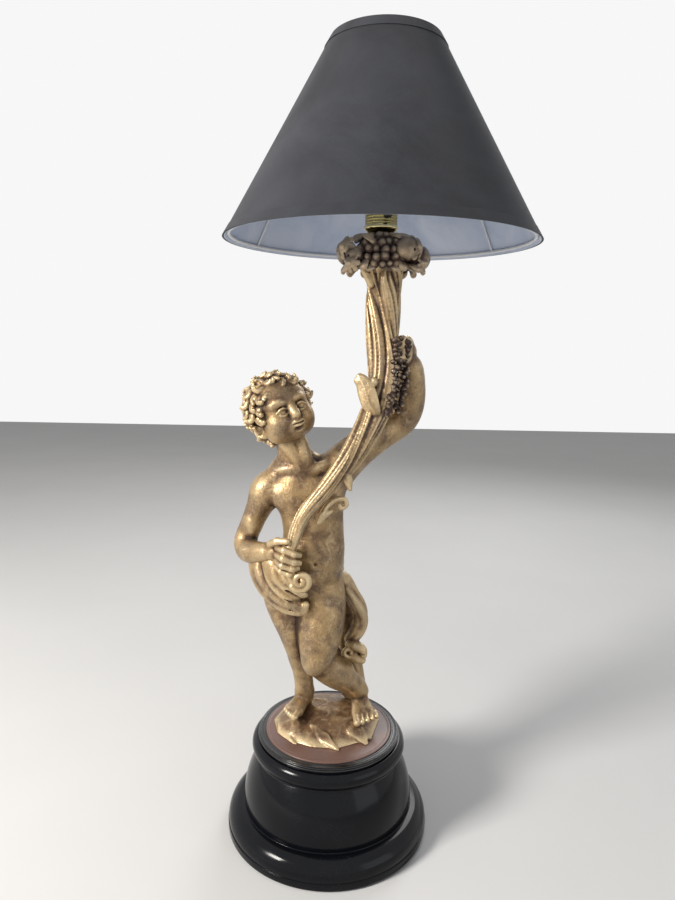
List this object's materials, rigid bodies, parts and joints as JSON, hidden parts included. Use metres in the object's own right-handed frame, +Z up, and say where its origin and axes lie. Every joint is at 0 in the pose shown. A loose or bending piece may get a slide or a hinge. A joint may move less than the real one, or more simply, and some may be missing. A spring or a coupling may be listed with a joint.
{
  "type": "figural table lamp",
  "caption": "Table lamp: gilt carved child on a black turned socle lifting a horn of plenty, with a lampholder in the fruit and a dark conical fabric shade.",
  "frame": {"origin": "centre of the underside of the socle", "axes": "+Z up, +X to the right of a viewer in front, +Y away from that viewer"},
  "size_m": [0.3574, 0.3574, 0.9392],
  "materials": {
    "felt": "felt",
    "black_lacquer": "glossy lacquer",
    "brown_satin": "satin",
    "black_plastic": "gloss",
    "steel": "zinc plated",
    "gilt_wood": "rubbed gilding",
    "bare_wood": "bare",
    "brass": "lacquered",
    "insulator": "matte",
    "aluminium": "satin",
    "pearl_glass": "pearl",
    "dark_fabric": "matte weave",
    "dark_trim": "matte weave",
    "pale_lining": "smooth",
    "white_wire": "white coated"
  },
  "bodies": {
    "lamp": {"felt_pad": "felt", "socle_base": "black_lacquer", "socle_collar": "black_lacquer", "deck_disc": "brown_satin", "inlet_bush": "black_plastic", "fixing_washers": "steel", "fixing_screws": "steel", "ground_rock": "gilt_wood", "torso": "gilt_wood", "standing_leg": "gilt_wood", "bent_leg": "gilt_wood", "head": "gilt_wood", "hanging_arm": "gilt_wood", "raised_arm": "gilt_wood", "horn_body": "gilt_wood", "horn_tail": "gilt_wood", "waist_drapery": "gilt_wood", "rear_drapery": "gilt_wood", "crown_core": "gilt_wood", "berry_garland": "gilt_wood", "grapes": "gilt_wood", "large_fruits": "gilt_wood", "horn_leaves": "gilt_wood", "crown_leaves": "gilt_wood", "section_dowels": "bare_wood", "threaded_tube": "brass", "tube_nut": "brass", "lampholder_cap": "brass", "lampholder_core": "insulator", "contact_pins": "brass", "contact_springs": "steel", "terminal_screws": "brass", "lampholder_barrel": "brass", "clamp_ring": "brass", "carrier_base": "brass", "carrier_uprights": "brass", "carrier_top": "brass"},
    "switch": {"switch_bar": "black_plastic"},
    "bulb": {"bulb_cap": "aluminium", "bulb_glass": "pearl_glass"},
    "shade": {"shade_cover": "dark_fabric", "shade_liner": "pale_lining", "shade_bottom_trim": "dark_trim", "shade_top_trim": "dark_trim", "shade_bottom_ring": "white_wire", "shade_top_ring": "white_wire", "shade_hub": "brass", "shade_struts": "white_wire", "spider_arms": "white_wire"},
    "finial_knob": {"finial": "brass"}
  },
  "joints": [
    {"name": "switch_push", "type": "slide", "parent": "lamp", "child": "switch", "axis": [-0.2756, 0.9613, 0], "range_m": [0, 0.0065]},
    {"name": "bulb_turn", "type": "hinge", "parent": "lamp", "child": "bulb", "pos_m": [0.0489, 0, 0.79], "axis": [0, 0, 1], "range_deg": [0, 17]},
    {"name": "shade_swivel", "type": "hinge", "parent": "lamp", "child": "shade", "pos_m": [0.0489, 0, 0.92], "axis": [0, 0, 1], "continuous": true},
    {"name": "finial_turn", "type": "hinge", "parent": "lamp", "child": "finial_knob", "pos_m": [0.0489, 0, 0.92], "axis": [0, 0, 1], "continuous": true}
  ]
}
